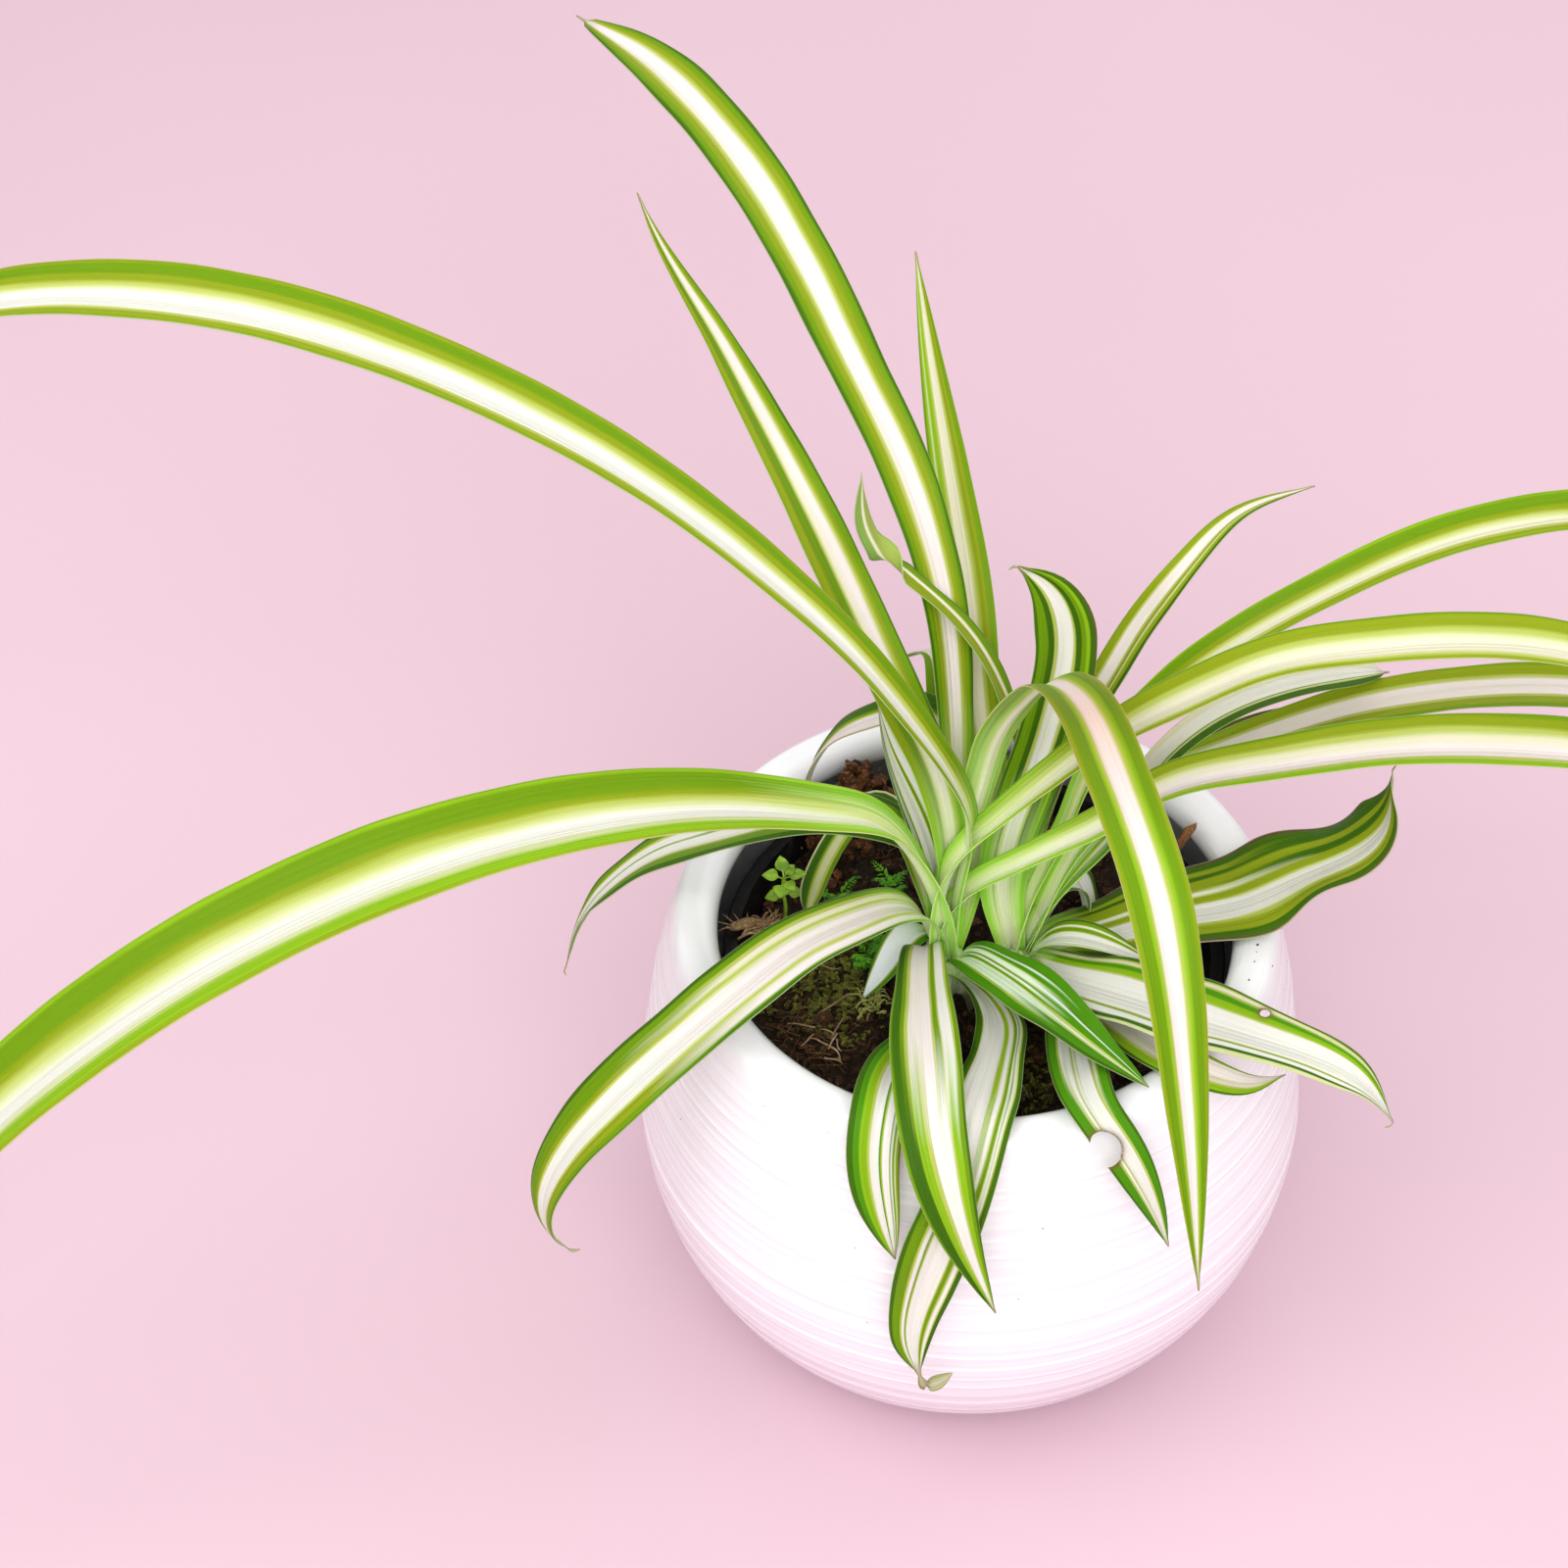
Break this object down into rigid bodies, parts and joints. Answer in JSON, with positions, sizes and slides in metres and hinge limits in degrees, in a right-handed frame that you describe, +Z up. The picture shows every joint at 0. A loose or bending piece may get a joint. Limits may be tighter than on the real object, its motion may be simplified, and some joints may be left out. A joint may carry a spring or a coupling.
{
  "type": "potted spider plant",
  "caption": "Variegated spider plant with arching striped leaves, rooted in a black nursery pot that stands inside a round white cover pot.",
  "frame": {"origin": "centre of the cover pot's flat base, on the surface it stands on", "axes": "+Z up; -Y towards the viewer of the front; +X to the viewer's right"},
  "size_m": [0.4152, 0.2462, 0.2533],
  "materials": {
    "glazed_pot": "glossy white glaze over turned rings",
    "black_liner": "satin black moulded plastic",
    "soil": "crumbly damp potting soil",
    "leaf_base": "pale green, satin",
    "leaf_green": "green margins round a cream band, satin",
    "seedling_green": "soft green",
    "dry_twig": "dry and fibrous",
    "bark": "dry brown bark"
  },
  "bodies": {
    "root": {"cover_pot": "glazed_pot", "nursery_pot": "black_liner", "soil": "soil", "clump": "leaf_base", "leaf_left_arch": "leaf_green", "leaf_upper_left_arch": "leaf_green", "leaf_front_left_droop": "leaf_green", "leaf_front_centre": "leaf_green", "leaf_back_left_tall": "leaf_green", "leaf_back_tallest": "leaf_green", "leaf_back_upright": "leaf_green", "leaf_back_narrow": "leaf_green", "leaf_front_arch": "leaf_green", "leaf_right_arch_high": "leaf_green", "leaf_right_arch_low": "leaf_green", "leaf_front_right_short": "leaf_green", "leaf_front_striped": "leaf_green", "leaf_front_under": "leaf_green", "leaf_front_stub": "leaf_green", "leaf_left_low": "leaf_green", "leaf_rim_hugger": "leaf_green", "leaf_back_left_folded": "leaf_green", "leaf_left_shaded": "leaf_green", "leaf_back_hidden": "leaf_green", "leaf_crumpled": "leaf_green", "leaf_b_back_curled": "leaf_green", "leaf_b_right_long": "leaf_green", "leaf_b_right_folded": "leaf_green", "leaf_b_right_brown": "leaf_green", "leaf_b_right_low": "leaf_green", "leaf_b_back_right": "leaf_green", "leaf_b_right_wavy": "leaf_green", "leaf_b_front_right": "leaf_green", "leaf_b_front_right_under": "leaf_green", "leaf_b_right_short": "leaf_green", "leaf_b_front_bitten": "leaf_green", "seedling": "seedling_green", "twig_left": "dry_twig", "twig_back": "bark", "bark_curl_right": "bark"}
  },
  "joints": []
}
